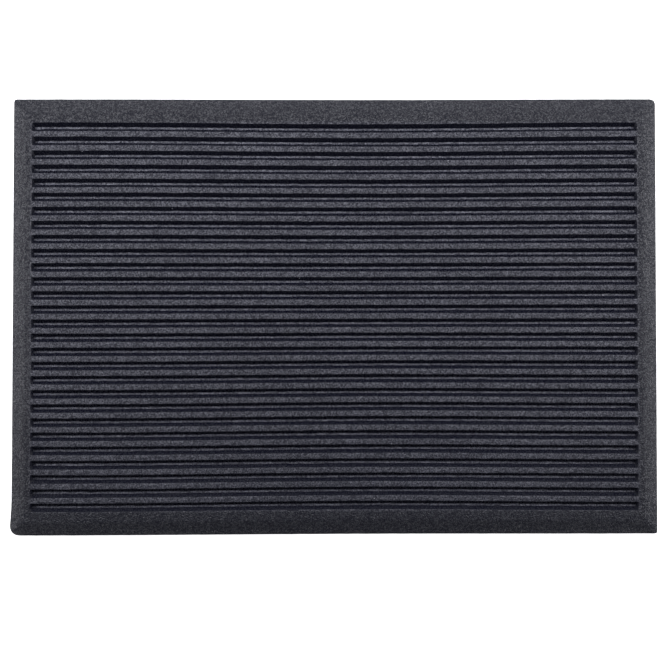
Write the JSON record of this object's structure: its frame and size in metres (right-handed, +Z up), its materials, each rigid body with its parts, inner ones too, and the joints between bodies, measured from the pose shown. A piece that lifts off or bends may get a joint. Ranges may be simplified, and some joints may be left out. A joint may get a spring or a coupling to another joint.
{
  "type": "door mat",
  "caption": "Rectangular black rubber door mat with long parallel grooves that have closed ends, a sloped border all round and a flat grip backing.",
  "frame": {"origin": "middle of the flat underside, on the floor", "axes": "+X along the long side and the grooves, +Y along the short side and across the grooves, +Z up out of the ribbed face"},
  "size_m": [0.6, 0.406, 0.008],
  "materials": {
    "tread_rubber": "black moulded rubber with a fine grain, semi-matt, slightly polished in the groove floors",
    "backing_rubber": "dull black rubber sheet with a low moulded grip pattern"
  },
  "bodies": {
    "root": {"ribbed_tread": "tread_rubber", "grip_backing": "backing_rubber"}
  },
  "joints": []
}
